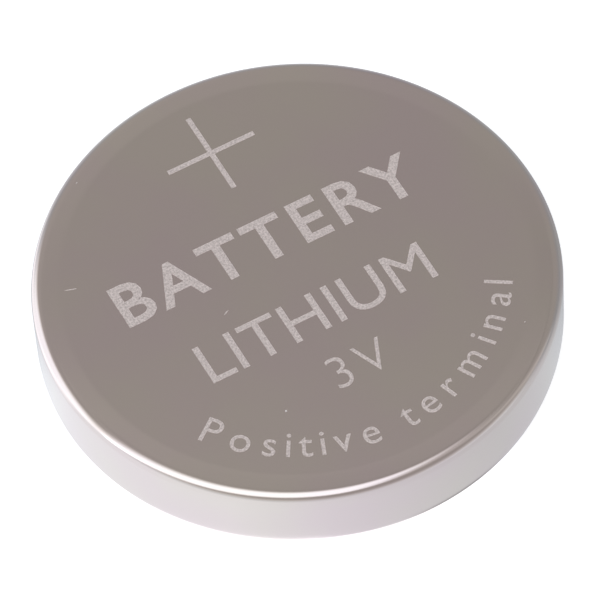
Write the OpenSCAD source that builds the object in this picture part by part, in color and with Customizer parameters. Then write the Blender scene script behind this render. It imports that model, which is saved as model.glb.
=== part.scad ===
// Lithium coin cell, 24.5 mm across and 5 mm thick, standing on its negative face.
// Every piece is turned: a section is drawn with its radius along X and its height along Y.
// The can's rim is rolled over the gasket and the cap, so the three share one bend centre.

/* [Cell] */
// Outside diameter of the cell
cell_d = 24.5; // [22:0.1:28]
// Height from the negative face to the positive face
cell_h = 5.0; // [4.4:0.1:6]

/* [Positive can] */
// Sheet thickness of the can
can_t = 0.25; // [0.15:0.01:0.32]
// Outside radius of the drawn edge round the positive face
edge_r = 0.55; // [0.4:0.05:0.9]
// Width of the coined margin, from the side wall in to the flat of the face
margin_w = 1.3; // [1:0.05:2]
// How far the margin falls below the flat of the face
margin_fall = 0.03; // [0.01:0.005:0.06]
// Outside radius of the rim rolled over the cap
crimp_r = 1.4; // [1.15:0.05:1.8]
// Height of the rolled rim above the negative face
rim_rise = 0.28; // [0.15:0.01:0.4]

/* [Sealing gasket] */
// Wall thickness of the gasket
gasket_t = 0.3; // [0.2:0.01:0.4]
// Thickness of the foot between the cap's skirt and the floor of the can
foot_t = 0.3; // [0.2:0.01:0.5]
// How far the foot reaches in past the skirt
foot_reach = 0.3; // [0.1:0.05:0.5]
// Width of the lip that shows inside the rolled rim
lip_w = 0.25; // [0.15:0.01:0.35]
// Depth of that lip below the rolled rim
lip_depth = 0.1; // [0.04:0.01:0.16]
// Rounding of the lip's inner corner
lip_round = 0.08; // [0.04:0.01:0.12]

/* [Negative cap] */
// Sheet thickness of the cap
cap_t = 0.25; // [0.15:0.01:0.28]
// Width of the open groove between the gasket's lip and the raised face
groove_w = 0.25; // [0.15:0.01:0.3]
// Outside radius of the raised face's edge
shoulder_r = 0.5; // [0.35:0.01:0.52]

/* [Lithium anode] */
// Thickness of the lithium disc
anode_t = 1.2; // [0.8:0.05:1.5]
// Space between the disc and the wall of the raised face
anode_gap = 0.5; // [0.2:0.05:1]

/* [Separator] */
// Thickness of the separator
separator_t = 0.2; // [0.1:0.01:0.3]
// How far the separator reaches past the cathode on every side
separator_reach = 0.3; // [0.1:0.05:0.5]

/* [Cathode] */
// Space between the cathode ring and the cap's skirt
ring_gap = 1.0; // [0.7:0.05:1.4]
// Sheet thickness of the ring
ring_t = 0.15; // [0.1:0.01:0.25]
// Height of the ring's wall
ring_h = 1.7; // [1:0.05:2]
// Width of the ring's flange on the floor of the can
flange_w = 1.2; // [0.6:0.05:2]

/* [Hidden] */
$fn = 180;

// The can, from its outside in
cell_r = cell_d / 2;
edge_z = cell_h - margin_fall;
floor_z = edge_z - can_t;
bore_r = cell_r - can_t;

// The bend that the rim, the gasket and the cap share
bend_r = cell_r - crimp_r;
bend_z = rim_rise + crimp_r;

// The gasket and the cap, each lying against the one outside it
skirt_r = bore_r - gasket_t;
skirt_end_z = floor_z - foot_t;
trough_z = rim_rise + can_t + gasket_t;
lip_r = bend_r - lip_w;
raised_r = lip_r - groove_w;
shoulder = min(shoulder_r, trough_z - groove_w);

// The stack between the cap and the floor of the can
anode_r = raised_r - cap_t - anode_gap;
separator_z = cap_t + anode_t;
pellet_z = separator_z + separator_t;
ring_r = skirt_r - cap_t - ring_gap;
pellet_r = ring_r - ring_t;

// Flat stretch of a section, from one corner to the opposite one
module strip(low, high) {
    translate(low) square(high - low);
}

// Quarter bend of sheet round a centre: side is [1 or -1, 1 or -1] for the quarter it fills
module bend(centre, outside_r, thickness, side) {
    translate(centre) intersection() {
        difference() {
            circle(r = outside_r);
            circle(r = outside_r - thickness);
        }
        quarter_square(outside_r, side);
    }
}

// Square that covers one quarter of a circle of the given radius
module quarter_square(r, side) {
    translate([min(0, side[0] * r), min(0, side[1] * r)]) square(r);
}

// What a rounded corner takes away: side points from the arc's centre to the corner
module corner_waste(corner, r, side) {
    translate([corner[0] - side[0] * r, corner[1] - side[1] * r]) difference() {
        quarter_square(r, side);
        circle(r = r);
    }
}

module positive_can() {
    color([0.60, 0.58, 0.57]) rotate_extrude() {
        polygon([[0, floor_z], [cell_r - edge_r, floor_z], [cell_r - edge_r, edge_z],
                 [cell_r - margin_w, cell_h], [0, cell_h]]);
        bend([cell_r - edge_r, edge_z - edge_r], edge_r, can_t, [1, 1]);
        strip([bore_r, bend_z], [cell_r, edge_z - edge_r]);
        bend([bend_r, bend_z], crimp_r, can_t, [1, -1]);
    }
}

module sealing_gasket() {
    color([0.24, 0.25, 0.27]) rotate_extrude() difference() {
        union() {
            strip([skirt_r - cap_t - foot_reach, skirt_end_z], [bore_r, floor_z]);
            strip([skirt_r, bend_z], [bore_r, skirt_end_z]);
            bend([bend_r, bend_z], crimp_r - can_t, gasket_t, [1, -1]);
            strip([lip_r, rim_rise + lip_depth], [bend_r, trough_z]);
        }
        corner_waste([bore_r, floor_z], edge_r - can_t, [1, 1]);
        corner_waste([lip_r, rim_rise + lip_depth], lip_round, [-1, -1]);
    }
}

module negative_cap() {
    color([0.72, 0.71, 0.71]) rotate_extrude() {
        strip([0, 0], [raised_r - shoulder, cap_t]);
        bend([raised_r - shoulder, shoulder], shoulder, cap_t, [1, -1]);
        strip([raised_r - cap_t, shoulder], [raised_r, trough_z - groove_w]);
        bend([lip_r, trough_z - groove_w], groove_w + cap_t, cap_t, [-1, 1]);
        strip([lip_r, trough_z], [bend_r, trough_z + cap_t]);
        bend([bend_r, bend_z], crimp_r - can_t - gasket_t, cap_t, [1, -1]);
        strip([skirt_r - cap_t, bend_z], [skirt_r, skirt_end_z]);
    }
}

module lithium_anode() {
    color([0.78, 0.78, 0.80]) rotate_extrude()
        strip([0, cap_t], [anode_r, separator_z]);
}

module separator() {
    color([0.93, 0.92, 0.88]) rotate_extrude()
        strip([0, separator_z], [ring_r + separator_reach, pellet_z]);
}

module cathode_pellet() {
    color([0.13, 0.13, 0.13]) rotate_extrude() {
        strip([0, pellet_z], [pellet_r, floor_z - ring_t]);
        strip([0, floor_z - ring_t], [ring_r - flange_w, floor_z]);
    }
}

module cathode_ring() {
    color([0.66, 0.65, 0.64]) rotate_extrude() {
        strip([pellet_r, floor_z - ring_h], [ring_r, floor_z]);
        strip([ring_r - flange_w, floor_z - ring_t], [pellet_r, floor_z]);
    }
}

positive_can();
sealing_gasket();
negative_cap();
lithium_anode();
separator();
cathode_pellet();
cathode_ring();
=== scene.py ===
import math

import bmesh
import bpy
from mathutils import Matrix, Vector


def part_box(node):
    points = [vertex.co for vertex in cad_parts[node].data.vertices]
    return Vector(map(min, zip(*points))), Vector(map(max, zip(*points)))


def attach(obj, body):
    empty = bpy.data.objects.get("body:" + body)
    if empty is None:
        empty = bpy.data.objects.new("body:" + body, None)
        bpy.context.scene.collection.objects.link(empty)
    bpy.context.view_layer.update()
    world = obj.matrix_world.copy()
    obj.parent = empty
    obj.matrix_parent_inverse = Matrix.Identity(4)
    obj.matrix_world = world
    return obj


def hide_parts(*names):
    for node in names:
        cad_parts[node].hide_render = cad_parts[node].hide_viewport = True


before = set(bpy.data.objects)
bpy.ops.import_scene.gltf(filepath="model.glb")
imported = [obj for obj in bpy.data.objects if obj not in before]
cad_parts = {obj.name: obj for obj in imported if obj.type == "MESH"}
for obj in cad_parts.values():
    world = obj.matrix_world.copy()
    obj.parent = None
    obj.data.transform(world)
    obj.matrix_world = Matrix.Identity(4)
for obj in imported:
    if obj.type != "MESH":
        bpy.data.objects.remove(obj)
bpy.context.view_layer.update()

mm = 0.001
turnSteps = 256          # faces round every turned piece
seamMerge = 0.0001       # mm, where a spun piece closes
supportGap = 0.1         # mm, from the end of a flat to the ring that holds its shading
noiseSpan = (0.3, 0.7)   # where nearly all values of a noise texture lie
cloudSpan = (0.35, 0.65)
letterCurveSteps = 6
boldCurveSteps = 3       # bold bowls stay clean where they meet
scene = bpy.context.scene


# Sections: a line of points in the XZ plane, grown vertex by vertex and then spun round the cell's axis

def startLine(bm, x, z):
    return bm.verts.new((x * mm, 0, z * mm))


def lineTo(bm, vert, x, z, cuts=0):
    # one straight run, with a few cuts where the shading needs a support
    start = vert.co.copy()
    end = Vector((x * mm, 0, z * mm))
    for step in range(1, cuts + 2):
        grown = bmesh.ops.extrude_vert_indiv(bm, verts=[vert])
        vert = grown["verts"][0]
        vert.co = start.lerp(end, step / (cuts + 1))
    return vert


def arcTo(bm, vert, x, z, degrees, steps=12):
    # a bend round the centre (x, z); positive degrees turn from +Z towards +X
    grown = bmesh.ops.spin(
        bm, geom=[vert], cent=(x * mm, 0, z * mm), axis=(0, 1, 0),
        angle=math.radians(degrees), steps=steps, use_duplicate=False)
    return next(g for g in grown["geom_last"] if isinstance(g, bmesh.types.BMVert))


def spinRound(bm):
    bmesh.ops.spin(
        bm, geom=bm.verts[:] + bm.edges[:], cent=(0, 0, 0), axis=(0, 0, 1),
        angle=math.tau, steps=turnSteps, use_merge=True, use_duplicate=False)
    bmesh.ops.remove_doubles(bm, verts=bm.verts[:], dist=seamMerge * mm)
    bmesh.ops.recalc_face_normals(bm, faces=bm.faces[:])


def finishPiece(bm, name, materials, node=None, sharpAngle=35):
    for face in bm.faces:
        face.smooth = True
    for edge in bm.edges:
        if edge.calc_face_angle(0) > math.radians(sharpAngle):
            edge.smooth = False
    mesh = bpy.data.meshes.new(name)
    bm.to_mesh(mesh)
    bm.free()
    for material in materials:
        mesh.materials.append(material)
    piece = bpy.data.objects.new(name, mesh)
    scene.collection.objects.link(piece)
    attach(piece, "root")
    if node:
        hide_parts(node)
    return piece


# Nodes: an input is given a value, or the output that feeds it

def addNode(tree, kind, inputs=None, **settings):
    made = tree.nodes.new("ShaderNode" + kind)
    for name, value in settings.items():
        setattr(made, name, value)
    for name, value in (inputs or {}).items():
        if isinstance(value, bpy.types.NodeSocket):
            tree.links.new(value, made.inputs[name])
        else:
            made.inputs[name].default_value = value
    return made


def spread(tree, value, fromLow, fromHigh, toLow, toHigh, soft=False):
    ranges = {"Value": value, "From Min": fromLow, "From Max": fromHigh, "To Min": toLow, "To Max": toHigh}
    kind = "SMOOTHSTEP" if soft else "LINEAR"
    return addNode(tree, "MapRange", ranges, interpolation_type=kind).outputs["Result"]


def combine(tree, operation, first, second, third=0.0):
    inputs = {0: first, 1: second, 2: third}
    return addNode(tree, "Math", inputs, operation=operation).outputs[0]


def mixColours(tree, factor, first, second):
    made = addNode(tree, "Mix", data_type="RGBA")
    made.inputs["A"].default_value = (*first, 1)
    made.inputs["B"].default_value = (*second, 1)
    tree.links.new(factor, made.inputs["Factor"])
    return made.outputs["Result"]


def startMaterial(name):
    # patterns read Object coordinates, here turned into millimetres
    material = bpy.data.materials.new(name)
    material.use_nodes = True
    tree = material.node_tree
    place = addNode(tree, "TexCoord").outputs["Object"]
    inMm = addNode(tree, "Mapping", {"Vector": place, "Scale": (1 / mm, 1 / mm, 1 / mm)}).outputs["Vector"]
    return material, tree, tree.nodes["Principled BSDF"], inMm


def noise(tree, place, perMm, detail=3.0, roughness=0.5):
    inputs = {"Vector": place, "Scale": perMm, "Detail": detail, "Roughness": roughness}
    return addNode(tree, "TexNoise", inputs).outputs["Fac"]


def bump(tree, height, depth):
    made = addNode(tree, "Bump", {"Height": height, "Distance": depth * mm, "Strength": 1.0})
    return made.outputs["Normal"]


def makeMetal(name, finish):
    material, tree, shader, place = startMaterial(name)
    clouds = spread(tree, noise(tree, place, finish["cloudPerMm"], detail=4), *cloudSpan, 0, 1)
    grain = noise(tree, place, finish["grainPerMm"], detail=4, roughness=0.6)
    rough = spread(tree, grain, *noiseSpan, *finish["roughness"])
    tree.links.new(mixColours(tree, clouds, finish["shade"], finish["colour"]), shader.inputs["Base Color"])
    tree.links.new(rough, shader.inputs["Roughness"])
    tree.links.new(bump(tree, grain, finish["grainDepth"]), shader.inputs["Normal"])
    shader.inputs["Metallic"].default_value = 1.0
    return material


canFinish = {
    "colour": (0.705, 0.635, 0.590),   # nickel, in two slightly different tones
    "shade": (0.705, 0.605, 0.605),
    "roughness": (0.12, 0.17),
    "cloudPerMm": 0.16,
    "grainPerMm": 14.0,
    "grainDepth": 0.0005,
}
satinNickel = makeMetal("satinNickel", canFinish)

canSizes = {
    "sheet": 0.25,
    "edgeRadius": 0.55,
    "marginWidth": 1.3,
    "marginFall": 0.03,
    "marginSteps": 8,
    "marginPower": 1.15,
    "crimpRadius": 1.4,
    "rimRise": 0.28,
    "etchHeight": 0.006,   # the face lies this far under the etched marks
}
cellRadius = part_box("positive_can")[1].x / mm
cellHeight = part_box("positive_can")[1].z / mm
faceHeight = cellHeight - canSizes["etchHeight"]


def makeCan(sizes):
    bm = bmesh.new()
    edgeTop = cellHeight - sizes["marginFall"]
    edgeX = cellRadius - sizes["edgeRadius"]
    edgeZ = edgeTop - sizes["edgeRadius"]
    bendX = cellRadius - sizes["crimpRadius"]
    bendZ = sizes["rimRise"] + sizes["crimpRadius"]
    boreX = cellRadius - sizes["sheet"]
    marginX = cellRadius - sizes["marginWidth"]
    vert = startLine(bm, 0, faceHeight)
    vert = lineTo(bm, vert, marginX - supportGap, faceHeight, cuts=6)
    # the margin falls faster towards the drawn edge
    for step in range(sizes["marginSteps"] + 1):
        along = step / sizes["marginSteps"]
        height = faceHeight - (faceHeight - edgeTop) * along ** sizes["marginPower"]
        vert = lineTo(bm, vert, marginX + (edgeX - marginX) * along, height)
    vert = arcTo(bm, vert, edgeX, edgeZ, 90, steps=16)
    vert = lineTo(bm, vert, cellRadius, bendZ, cuts=3)
    vert = arcTo(bm, vert, bendX, bendZ, 90, steps=20)
    vert = lineTo(bm, vert, bendX, sizes["rimRise"] + sizes["sheet"])
    vert = arcTo(bm, vert, bendX, bendZ, -90, steps=20)
    vert = lineTo(bm, vert, boreX, edgeZ, cuts=1)
    vert = arcTo(bm, vert, edgeX, edgeZ, -90, steps=8)
    vert = lineTo(bm, vert, 0, edgeTop - sizes["sheet"])
    spinRound(bm)
    return finishPiece(bm, "canShell", [satinNickel], "positive_can")


makeCan(canSizes)
print("can made")


etchFinish = {
    "light": (0.95, 0.845, 0.82),
    "dark": (0.65, 0.57, 0.55),
    "specklePerMm": 10.0,
    "speckleSpan": (0.38, 0.6),
    "roughness": (0.50, 0.62),
    "depth": 0.010,
    "metallic": 0.5,    # the etched steel is frosted, and scatters part of the light
}
# the contour round every letter is lighter: a painted highlight of the etched edges catching the light; the
# wear specks use it too
highlightAndSpeckFinish = dict(etchFinish, light=(1.0, 0.945, 0.925), dark=(0.90, 0.82, 0.80), metallic=0.1)


def makeEtched(name, finish):
    material, tree, shader, place = startMaterial(name)
    speckle = noise(tree, place, finish["specklePerMm"], roughness=0.7)
    tone = spread(tree, speckle, *finish["speckleSpan"], 0, 1)
    tree.links.new(mixColours(tree, tone, finish["dark"], finish["light"]), shader.inputs["Base Color"])
    tree.links.new(spread(tree, speckle, *noiseSpan, *finish["roughness"]), shader.inputs["Roughness"])
    tree.links.new(bump(tree, speckle, finish["depth"]), shader.inputs["Normal"])
    shader.inputs["Metallic"].default_value = finish["metallic"]
    return material


etchedFill = makeEtched("etchedFill", etchFinish)
etchedHighlightAndSpecks = makeEtched("etchedHighlightAndSpecks", highlightAndSpeckFinish)

markSizes = {
    "contour": 0.055,   # width of the painted highlight line round every letter, where the etched edges catch the light
    "merge": 0.001,     # points of a letter that lie nearer than this become one
    "plus": {"x": -0.14, "y": 8.0, "arm": 2.27, "stroke": 0.25},
    "rows": [
        {"text": "BATTERY", "size": 3.3, "tracking": 1.19, "bold": 0.017, "x": -0.25, "y": 1.3},
        {"text": "LITHIUM", "size": 3.15, "tracking": 1.02, "bold": 0.0, "x": -0.25, "y": -3.35},
        {"text": "3V", "size": 2.55, "tracking": 1.2, "bold": -0.012, "x": 0.12, "y": -6.57},
    ],
    "arc": {"text": "Positive terminal", "size": 1.95, "radius": 9.95, "from": -143, "to": -33},
}


def textMesh(text, size, tracking=1.0, bold=0.0):
    curve = bpy.data.curves.new("mark", "FONT")
    curve.body = text
    curve.size = size * mm
    curve.space_character = tracking
    curve.offset = bold * size * mm
    curve.resolution_u = boldCurveSteps if bold > 0 else letterCurveSteps
    holder = bpy.data.objects.new("mark", curve)
    scene.collection.objects.link(holder)
    bpy.context.view_layer.update()
    shown = holder.evaluated_get(bpy.context.evaluated_depsgraph_get())
    mesh = bpy.data.meshes.new_from_object(shown)
    bpy.data.objects.remove(holder)
    bpy.data.curves.remove(curve)
    return mesh


def layMark(bm, mesh, place):
    # the flat letter goes in at its place; all letters get their thickness together
    mesh.transform(place)
    bm.from_mesh(mesh)
    bpy.data.meshes.remove(mesh)


def centreX(mesh):
    xs = [v.co.x for v in mesh.vertices]
    return (min(xs) + max(xs)) / 2


def textEnds(text, size):
    # left and right end of a text; a space has neither, and counts as no width
    mesh = textMesh(text, size)
    xs = [v.co.x for v in mesh.vertices] or [0]
    bpy.data.meshes.remove(mesh)
    return min(xs), max(xs)


def letterCentres(text, size):
    # where each letter's middle comes along the line, from the right end of the text up to it
    centres = []
    for count, letter in enumerate(text, 1):
        left, right = textEnds(letter, size)
        centres.append(textEnds(text[:count], size)[1] - (right - left) / 2)
    return centres


def layPlus(bm, sizes):
    # a small square, with an arm drawn out of each of its sides
    middle = bmesh.ops.create_grid(bm, x_segments=1, y_segments=1, size=sizes["stroke"] / 2 * mm)
    sides = list(middle["verts"][0].link_faces[0].edges)
    for side in sides:
        outward = sum((vert.co for vert in side.verts), Vector()).normalized()
        arm = bmesh.ops.extrude_edge_only(bm, edges=[side])
        ends = [g for g in arm["geom"] if isinstance(g, bmesh.types.BMVert)]
        bmesh.ops.translate(bm, verts=ends, vec=outward * (sizes["arm"] - sizes["stroke"] / 2) * mm)
    bmesh.ops.translate(bm, verts=bm.verts[:], vec=(sizes["x"] * mm, sizes["y"] * mm, 0))


def sink(bm, depth):
    # every flat outline gets its thickness downwards
    skirt = bmesh.ops.extrude_face_region(bm, geom=bm.faces[:])
    sunk = [g for g in skirt["geom"] if isinstance(g, bmesh.types.BMVert)]
    bmesh.ops.translate(bm, verts=sunk, vec=(0, 0, -depth * mm))
    bmesh.ops.recalc_face_normals(bm, faces=bm.faces[:])


def makeMarks(sizes):
    bm = bmesh.new()
    layPlus(bm, sizes["plus"])
    for row in sizes["rows"]:
        mesh = textMesh(row["text"], row["size"], row["tracking"], row["bold"])
        layMark(bm, mesh, Matrix.Translation((row["x"] * mm - centreX(mesh), row["y"] * mm, 0)))
    arc = sizes["arc"]
    centres = letterCentres(arc["text"], arc["size"])
    for letter, centre in zip(arc["text"], centres):
        if letter == " ":
            continue
        along = (centre - centres[0]) / (centres[-1] - centres[0])
        angle = math.radians(arc["from"] + (arc["to"] - arc["from"]) * along)
        mesh = textMesh(letter, arc["size"])
        turn = Matrix.Rotation(angle + math.pi / 2, 4, "Z")
        layMark(bm, mesh, turn @ Matrix.Translation((-centreX(mesh), -arc["radius"] * mm, 0)))
    bmesh.ops.translate(bm, verts=bm.verts[:], vec=(0, 0, cellHeight * mm))
    bmesh.ops.remove_doubles(bm, verts=bm.verts[:], dist=sizes["merge"] * mm)
    # inner edges are turned until no triangle is flat
    bmesh.ops.beautify_fill(bm, faces=bm.faces[:], edges=bm.edges[:])
    # every letter's rim takes the lighter contour material, a painted edge highlight
    rim = bmesh.ops.inset_region(
        bm, faces=bm.faces[:], thickness=sizes["contour"] * mm, use_even_offset=False)
    for face in rim["faces"]:
        face.material_index = 1
    # half of the thickness lies under the face
    sink(bm, 2 * (cellHeight - faceHeight))
    return finishPiece(bm, "etchedMarks", [etchedFill, etchedHighlightAndSpecks])


makeMarks(markSizes)
print("marks made")


wearSizes = {
    "rise": 0.004,    # how far the bright specks stand out of the face
    "root": 0.02,     # the whole thickness, most of it under the face
    "sides": 12,
    "specks": [       # place, length, width and direction of each
        (-6.30, 9.65, 0.14, 0.12, 0),
        (-4.01, -6.32, 0.10, 0.09, 0),
    ],
    "scratches": [    # and of the fainter ones
        (-9.36, 4.51, 0.58, 0.05, -19),
        (-3.80, -0.23, 0.34, 0.05, 27),
        (7.74, -7.58, 0.10, 0.05, 40),
        (0.47, -11.60, 0.10, 0.07, 0),
        (1.42, -11.50, 0.09, 0.07, 20),
    ],
}


def makeWear(sizes, can):
    bm = bmesh.new()
    flatRadius = cellRadius - can["marginWidth"]
    slope = can["marginFall"] / (can["marginWidth"] - can["edgeRadius"])
    for kind, finish in (("specks", 0), ("scratches", 1)):
        for x, y, length, width, turn in sizes[kind]:
            height = faceHeight + sizes["rise"] - slope * max(0, math.hypot(x, y) - flatRadius)
            # one millimetre across before it is scaled
            circle = bmesh.ops.create_circle(bm, cap_ends=True, segments=sizes["sides"], radius=mm / 2)
            speck = circle["verts"]
            speck[0].link_faces[0].material_index = finish
            turned = Matrix.Rotation(math.radians(turn), 3, "Z")
            bmesh.ops.scale(bm, verts=speck, vec=(length, width, 1))
            bmesh.ops.rotate(bm, verts=speck, cent=(0, 0, 0), matrix=turned)
            bmesh.ops.translate(bm, verts=speck, vec=(x * mm, y * mm, height * mm))
    sink(bm, sizes["root"])
    return finishPiece(bm, "wearSpecks", [etchedHighlightAndSpecks, etchedFill])


makeWear(wearSizes, canSizes)
print("wear made")


capFinish = {
    "colour": (0.70, 0.64, 0.60),
    "shade": (0.66, 0.60, 0.57),
    "roughness": (0.24, 0.34),
    "cloudPerMm": 0.4,
    "grainPerMm": 7.0,
    "grainDepth": 0.006,
}
capNickel = makeMetal("capNickel", capFinish)

gasketFinish = {
    "colour": (0.040, 0.042, 0.047),
    "worn": (0.075, 0.078, 0.085),
    "roughness": (0.38, 0.52),
    "grainPerMm": 6.0,
    "grainDepth": 0.004,
}


def makePlastic(name, finish):
    material, tree, shader, place = startMaterial(name)
    grain = noise(tree, place, finish["grainPerMm"], detail=4)
    tone = spread(tree, grain, *noiseSpan, 0, 1)
    tree.links.new(mixColours(tree, tone, finish["colour"], finish["worn"]), shader.inputs["Base Color"])
    tree.links.new(spread(tree, grain, *noiseSpan, *finish["roughness"]), shader.inputs["Roughness"])
    tree.links.new(bump(tree, grain, finish["grainDepth"]), shader.inputs["Normal"])
    return material


gasketPlastic = makePlastic("gasketPlastic", gasketFinish)

gasketSizes = {
    "wall": 0.3,
    "foot": 0.3,
    "footReach": 0.3,
    "lipWidth": 0.25,
    "lipDepth": 0.1,
    "lipRound": 0.08,
}
capSizes = {"sheet": 0.25, "groove": 0.25, "shoulder": 0.5}


def makeGasket(sizes, can, cap):
    bm = bmesh.new()
    boreX = cellRadius - can["sheet"]
    floorZ = cellHeight - can["marginFall"] - can["sheet"]
    skirtX = boreX - sizes["wall"]
    bendX = cellRadius - can["crimpRadius"]
    bendZ = can["rimRise"] + can["crimpRadius"]
    footZ = floorZ - sizes["foot"]
    cornerR = can["edgeRadius"] - can["sheet"]
    lipX = bendX - sizes["lipWidth"]
    lipZ = can["rimRise"] + sizes["lipDepth"]
    troughZ = can["rimRise"] + can["sheet"] + sizes["wall"]
    first = startLine(bm, skirtX - cap["sheet"] - sizes["footReach"], floorZ)
    vert = lineTo(bm, first, boreX - cornerR, floorZ)
    vert = arcTo(bm, vert, boreX - cornerR, floorZ - cornerR, 90, steps=8)
    vert = lineTo(bm, vert, boreX, bendZ)
    vert = arcTo(bm, vert, bendX, bendZ, 90, steps=16)
    vert = lineTo(bm, vert, bendX, lipZ)
    vert = lineTo(bm, vert, lipX + sizes["lipRound"], lipZ)
    vert = arcTo(bm, vert, lipX + sizes["lipRound"], lipZ + sizes["lipRound"], 90, steps=5)
    vert = lineTo(bm, vert, lipX, troughZ)
    vert = lineTo(bm, vert, bendX, troughZ)
    vert = arcTo(bm, vert, bendX, bendZ, -90, steps=16)
    vert = lineTo(bm, vert, skirtX, footZ)
    vert = lineTo(bm, vert, first.co.x / mm, footZ)
    bm.edges.new((vert, first))
    spinRound(bm)
    return finishPiece(bm, "gasketRing", [gasketPlastic], "sealing_gasket")


def makeCap(sizes, can, gasket):
    bm = bmesh.new()
    sheet = sizes["sheet"]
    skirtX = cellRadius - can["sheet"] - gasket["wall"]
    bendX = cellRadius - can["crimpRadius"]
    bendZ = can["rimRise"] + can["crimpRadius"]
    troughZ = can["rimRise"] + can["sheet"] + gasket["wall"]
    lipX = bendX - gasket["lipWidth"]
    raisedX = lipX - sizes["groove"]
    shoulderX = raisedX - sizes["shoulder"]
    rootZ = troughZ - sizes["groove"]
    skirtZ = cellHeight - can["marginFall"] - can["sheet"] - gasket["foot"]
    vert = startLine(bm, 0, 0)
    vert = lineTo(bm, vert, shoulderX - supportGap, 0, cuts=6)
    vert = lineTo(bm, vert, shoulderX, 0)
    vert = arcTo(bm, vert, shoulderX, sizes["shoulder"], -90, steps=12)
    vert = lineTo(bm, vert, raisedX, rootZ)
    vert = arcTo(bm, vert, lipX, rootZ, 90, steps=8)
    vert = lineTo(bm, vert, bendX, troughZ)
    vert = arcTo(bm, vert, bendX, bendZ, -90, steps=16)
    vert = lineTo(bm, vert, skirtX, skirtZ, cuts=1)
    vert = lineTo(bm, vert, skirtX - sheet, skirtZ)
    vert = lineTo(bm, vert, skirtX - sheet, bendZ, cuts=1)
    vert = arcTo(bm, vert, bendX, bendZ, 90, steps=16)
    vert = lineTo(bm, vert, lipX, troughZ + sheet)
    vert = arcTo(bm, vert, lipX, rootZ, -90, steps=8)
    vert = lineTo(bm, vert, raisedX - sheet, sizes["shoulder"])
    vert = arcTo(bm, vert, shoulderX, sizes["shoulder"], 90, steps=12)
    vert = lineTo(bm, vert, 0, sheet)
    spinRound(bm)
    return finishPiece(bm, "capShell", [capNickel], "negative_cap")


makeGasket(gasketSizes, canSizes, capSizes)
makeCap(capSizes, canSizes, gasketSizes)
print("gasket and cap made")


# Inner pieces keep their CAD solids and get their own finishes

pelletFinish = {"colour": (0.012, 0.012, 0.013), "worn": (0.035, 0.034, 0.033), "roughness": (0.75, 0.95),
                "grainPerMm": 9.0, "grainDepth": 0.03}
lithiumFinish = {"colour": (0.62, 0.62, 0.645), "shade": (0.50, 0.50, 0.53), "roughness": (0.38, 0.55),
                 "cloudPerMm": 0.8, "grainPerMm": 5.0, "grainDepth": 0.01}
ringFinish = {"colour": (0.68, 0.665, 0.65), "shade": (0.62, 0.605, 0.59), "roughness": (0.14, 0.22),
              "cloudPerMm": 0.7, "grainPerMm": 16.0, "grainDepth": 0.001}
fleeceFinish = {"colour": (0.86, 0.85, 0.81), "shade": (0.70, 0.69, 0.65), "fibre": (1.2, 14.0, 6.0),
                "fibreSpan": (0.45, 0.7), "turns": (15, 75, 130), "depth": 0.03, "roughness": 0.85}


def makeFleece(name, finish):
    # three layers of stretched noise lie across each other like fibres
    material, tree, shader, place = startMaterial(name)
    height = None
    for turn in finish["turns"]:
        inputs = {"Vector": place, "Rotation": (0, 0, math.radians(turn)), "Scale": finish["fibre"]}
        stretched = addNode(tree, "Mapping", inputs).outputs["Vector"]
        layer = noise(tree, stretched, perMm=1.0, detail=2)
        height = combine(tree, "MAXIMUM", height, layer) if height else layer
    tone = spread(tree, height, *finish["fibreSpan"], 0, 1)
    tree.links.new(mixColours(tree, tone, finish["shade"], finish["colour"]), shader.inputs["Base Color"])
    tree.links.new(bump(tree, height, finish["depth"]), shader.inputs["Normal"])
    shader.inputs["Roughness"].default_value = finish["roughness"]
    return material


innerFinishes = {
    "cathode_pellet": makePlastic("pressedOxide", pelletFinish),
    "lithium_anode": makeMetal("rolledLithium", lithiumFinish),
    "cathode_ring": makeMetal("ringSteel", ringFinish),
    "separator": makeFleece("separatorFleece", fleeceFinish),
}
for nodeName, material in innerFinishes.items():
    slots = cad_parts[nodeName].data.materials
    slots.clear()
    slots.append(material)
print("inner pieces finished")


# Studio: a white table in a grey room, with a long soft light in the ceiling and a soft lamp at the left

camera = {
    "azimuth": -25.4,
    "elevation": 55.94,
    "roll": -4.15,
    "distance": 0.300,
    "focalPixels": 6443.0,
    "imagePixels": 600,
    "origin": (300.8, 334.6),   # where the cell's origin falls in the picture, in pixels
}

studio = {
    "matteLevel": 0.42,                   # the room, as it lights matt surfaces
    "roomLevel": (0.359, 0.312),          # the room as metal mirrors it, left and right
    "roomMiddle": (-0.15, 0.15),
    "frontLevel": 0.5,                    # added low down in front
    "frontHeight": (0.62, 0.03),
    "frontSide": (0.3, -0.3),
    "bands": [                            # heights between which the level changes, and by how much
        (0.822, 0.790, 0.072),
        (0.826, 0.852, 0.115),
        (0.866, 0.890, -0.070),
    ],
    "lampToward": (-0.93, 0.25, 0.16),    # a soft lamp at the left
    "lampReach": (0.68, 0.28, 0.0, 1.0),
    "roomColour": (1.03, 1.0, 0.965),
    "lowColour": (0.95, 1.0, 1.06),       # near the table, and in the light and the lamp
    "lowestRay": 0.02,                    # lower rays meet the ceiling as if they rose this much
    "lightLevel": 1.2,                    # a strip in the ceiling, measured on a plane one unit up
    "lightShift": -0.38,
    "lightSlope": 0.28,
    "lightWidth": (0.70, 0.24),
    "lightNarrow": (0.20, 0.70, 0.0, 0.25),   # it narrows to the right
    "lightEnd": (0.50, 0.14),
    "lightTail": 0.16,
}

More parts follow.
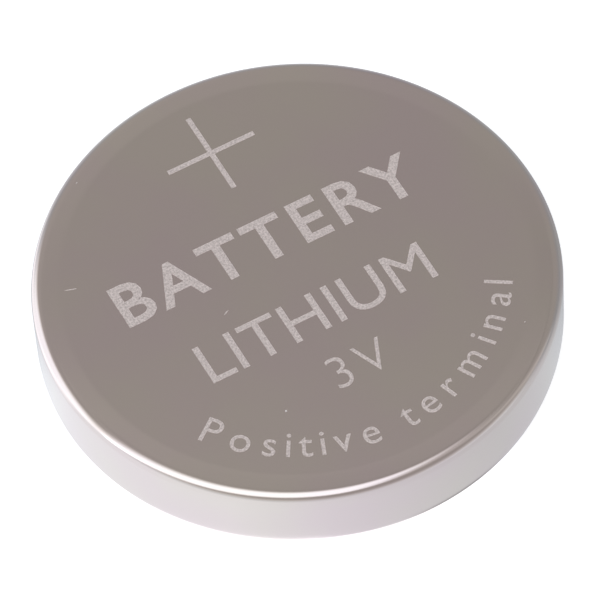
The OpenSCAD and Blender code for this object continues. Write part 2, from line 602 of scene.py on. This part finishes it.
table = {
    "span": 1.2,
    "drop": 0.02,                         # below the cell, mm
    "opening": 11.2,                      # clear below the cell, so that its underside can be seen
    "colour": (0.70, 0.72, 0.75),
    "seenGlow": 0.68,                     # added where the camera looks at it
    "mirrorColour": (0.95, 1.0, 1.06),
    "side": (-0.35, 0.80, 1.13, 0.76),    # mirrored level from the left to the right of the cell: painted light at the left, the cell's painted shadow at the right
    "away": (-0.30, 0.35, 1.0, 0.58),     # how the painted level darkens towards the far side
    "patchSide": (-0.72, -0.90, 0.0, 0.75),   # a painted pool of light at the far left, where the lamp would light the table
    "patchAway": (-0.30, 0.0, 0.0, 1.0),
    "patchReach": (15.5, 19.0, 0.0, 1.0),
    "glareSlope": 2.0,                    # the rolled rim mirrors a painted glare on the table, nearer the cell at its sides
    "glareEnd": (0.0, 0.45, 0.0, 0.45),   # that runs out towards the right
    "glareReach": (11.30, 11.18, 0.0, 1.0),
    "glareLevel": 1.9,
    "lineSlope": 1.14,                    # and a painted dark line of the cell's contact shadow, in the right half only
    "lineReach": (12.08, 11.95, 0.0, 1.0),
    "lineStart": (0.35, 0.50, 0.0, 0.42),
    "lineEnd": (0.66, 0.80, 1.0, 0.0),
}


def pictureFrame(tree, vector):
    # turned as the picture has it: X to the right, Y away from the camera, Z up
    turn = (0, 0, -math.radians(camera["azimuth"]))
    turned = addNode(tree, "Mapping", {"Vector": vector, "Rotation": turn}).outputs["Vector"]
    return turned, addNode(tree, "SeparateXYZ", {0: turned}).outputs


def makeTable(settings):
    bm = bmesh.new()
    bmesh.ops.create_grid(bm, x_segments=1, y_segments=1, size=settings["span"])
    bmesh.ops.translate(bm, verts=bm.verts[:], vec=(0, 0, -settings["drop"] * mm))
    mesh = bpy.data.meshes.new("studioTable")
    bm.to_mesh(mesh)
    bm.free()
    piece = bpy.data.objects.new("studioTable", mesh)
    scene.collection.objects.link(piece)
    material, tree, shader, place = startMaterial("tablePaper")
    rays = addNode(tree, "LightPath").outputs
    turned, part = pictureFrame(tree, place)
    radius = addNode(tree, "VectorMath", {0: turned}, operation="LENGTH").outputs["Value"]
    across = combine(tree, "DIVIDE", part["X"], radius)
    away = combine(tree, "DIVIDE", part["Y"], radius)
    # a painted pool of light at the far left of the mirrored table
    paintedLightPatch = combine(tree, "MULTIPLY", spread(tree, across, *settings["patchSide"]),
                    spread(tree, radius, *settings["patchReach"]))
    paintedLightPatch = combine(tree, "MULTIPLY", paintedLightPatch, spread(tree, away, *settings["patchAway"]))
    # painted light and shade on the mirrored table: lighter at the left, the cell's painted shadow at the
    # right, darker towards the far side
    paintedFalloff = spread(tree, away, *settings["away"], soft=True)
    level = combine(tree, "MULTIPLY_ADD", spread(tree, across, *settings["side"]), paintedFalloff, paintedLightPatch)
    # a painted dark line of the cell's contact shadow, which the rim mirrors on its right
    shadeLineDepth = combine(tree, "ADD", combine(tree, "MULTIPLY", away, settings["lineSlope"]), radius)
    line = combine(tree, "MULTIPLY", spread(tree, across, *settings["lineStart"]),
                   spread(tree, across, *settings["lineEnd"]))
    line = combine(tree, "MULTIPLY", line, spread(tree, shadeLineDepth, *settings["lineReach"], soft=True))
    level = combine(tree, "MULTIPLY", level, combine(tree, "SUBTRACT", 1.0, line))
    # a painted glare on the table near the cell, which the rolled rim mirrors as a bright fade
    glareDepth = combine(tree, "ADD", combine(tree, "MULTIPLY", away, settings["glareSlope"]), radius)
    glareDepth = combine(tree, "ADD", glareDepth, spread(tree, across, *settings["glareEnd"]))
    paintedGlare = spread(tree, glareDepth, *settings["glareReach"], soft=True)
    level = addNode(tree, "Mix", {"Factor": paintedGlare, "A": level, "B": settings["glareLevel"]})
    # the table glows with this painted light and shade for mirror rays only
    mirrorInputs = {"Color": (*settings["mirrorColour"], 1), "Strength": level.outputs["Result"]}
    mirrored = addNode(tree, "Emission", mirrorInputs).outputs[0]
    glow = combine(tree, "MULTIPLY", rays["Is Camera Ray"], settings["seenGlow"])
    glowing = addNode(tree, "Emission", {"Strength": glow}).outputs[0]
    lit = addNode(tree, "BsdfDiffuse", {"Color": (*settings["colour"], 1)}).outputs[0]
    seen = addNode(tree, "AddShader", {0: lit, 1: glowing}).outputs[0]
    flag = combine(tree, "MAXIMUM", rays["Is Glossy Ray"], rays["Is Transmission Ray"])
    above = addNode(tree, "MixShader", {0: flag, 1: seen, 2: mirrored}).outputs[0]
    # from underneath, and straight below the cell, the table isn't there
    opening = combine(tree, "LESS_THAN", radius, settings["opening"])
    gone = combine(tree, "MAXIMUM", addNode(tree, "NewGeometry").outputs["Backfacing"], opening)
    clear = addNode(tree, "BsdfTransparent").outputs[0]
    surface = addNode(tree, "MixShader", {0: gone, 1: above, 2: clear}).outputs[0]
    tree.links.new(surface, tree.nodes["Material Output"].inputs["Surface"])
    tree.nodes.remove(shader)
    mesh.materials.append(material)


def makeRoom(settings):
    world = bpy.data.worlds.new("studioRoom")
    world.use_nodes = True
    scene.world = world
    tree = world.node_tree
    rays = addNode(tree, "LightPath").outputs
    turned, part = pictureFrame(tree, addNode(tree, "TexCoord").outputs["Generated"])
    low = spread(tree, part["Z"], *settings["frontHeight"], 0, 1, soft=True)
    front = spread(tree, part["Y"], *settings["frontSide"], 0, settings["frontLevel"], soft=True)
    added = [combine(tree, "MULTIPLY", low, front)]
    for start, end, level in settings["bands"]:
        added.append(spread(tree, part["Z"], start, end, 0, level, soft=True))
    lamp = addNode(tree, "VectorMath", {0: turned, 1: settings["lampToward"]}, operation="DISTANCE")
    lamp = spread(tree, lamp.outputs["Value"], *settings["lampReach"], soft=True)
    added.append(lamp)
    mirrored = spread(tree, part["X"], *settings["roomMiddle"], *settings["roomLevel"], soft=True)
    for more in added:
        mirrored = combine(tree, "ADD", mirrored, more)
    # the ceiling strip: where the ray meets a plane one unit up, and how far that is from the strip's line
    up = combine(tree, "MAXIMUM", part["Z"], settings["lowestRay"])
    along = combine(tree, "DIVIDE", part["X"], up)
    line = combine(tree, "MULTIPLY_ADD", along, settings["lightSlope"], settings["lightShift"])
    off = combine(tree, "SUBTRACT", combine(tree, "DIVIDE", part["Y"], up), line)
    off = combine(tree, "ABSOLUTE", off, 0)
    off = combine(tree, "ADD", off, spread(tree, along, *settings["lightNarrow"]))
    width = spread(tree, off, *settings["lightWidth"], 0, 1, soft=True)
    length = spread(tree, along, *settings["lightEnd"], settings["lightTail"], 1, soft=True)
    above = combine(tree, "GREATER_THAN", part["Z"], 0)
    light = combine(tree, "MULTIPLY", width, length)
    light = combine(tree, "MULTIPLY", light, combine(tree, "MULTIPLY", above, settings["lightLevel"]))

    def choose(flag, other, chosen):
        return addNode(tree, "Mix", {"Factor": flag, "A": other, "B": chosen}).outputs["Result"]

    room = choose(rays["Is Glossy Ray"], settings["matteLevel"], mirrored)
    level = choose(rays["Is Camera Ray"], combine(tree, "ADD", room, light), 1.0)
    cool = combine(tree, "MAXIMUM", low, combine(tree, "MAXIMUM", light, lamp))
    tint = mixColours(tree, cool, settings["roomColour"], settings["lowColour"])
    seen = addNode(tree, "Mix", data_type="RGBA")
    seen.inputs["B"].default_value = (1, 1, 1, 1)
    tree.links.new(rays["Is Camera Ray"], seen.inputs["Factor"])
    tree.links.new(tint, seen.inputs["A"])
    tree.links.new(level, tree.nodes["Background"].inputs["Strength"])
    tree.links.new(seen.outputs["Result"], tree.nodes["Background"].inputs["Color"])


def makeCamera(settings):
    azimuth, elevation = math.radians(settings["azimuth"]), math.radians(settings["elevation"])
    back = Vector((math.sin(azimuth) * math.cos(elevation), -math.cos(azimuth) * math.cos(elevation),
                   math.sin(elevation)))
    data = bpy.data.cameras.new("photoCamera")
    data.sensor_width = 36
    data.lens = settings["focalPixels"] * data.sensor_width / settings["imagePixels"]
    data.clip_start = 0.01
    seen = bpy.data.objects.new("photoCamera", data)
    scene.collection.objects.link(seen)
    seen.rotation_mode = "QUATERNION"
    level = back.to_track_quat("Z", "Y")
    rolled = level @ Matrix.Rotation(math.radians(settings["roll"]), 3, "Z").to_quaternion()
    # aim a little off the origin so that it falls at its own pixel
    middle = settings["imagePixels"] / 2
    metresPerPixel = settings["distance"] / settings["focalPixels"]
    offset = Vector((middle - settings["origin"][0], settings["origin"][1] - middle, 0)) * metresPerPixel
    seen.location = rolled @ offset + back * settings["distance"]
    seen.rotation_quaternion = rolled
    scene.camera = seen


makeTable(table)
makeRoom(studio)
makeCamera(camera)
scene.view_settings.view_transform = "Standard"
print("studio ready")
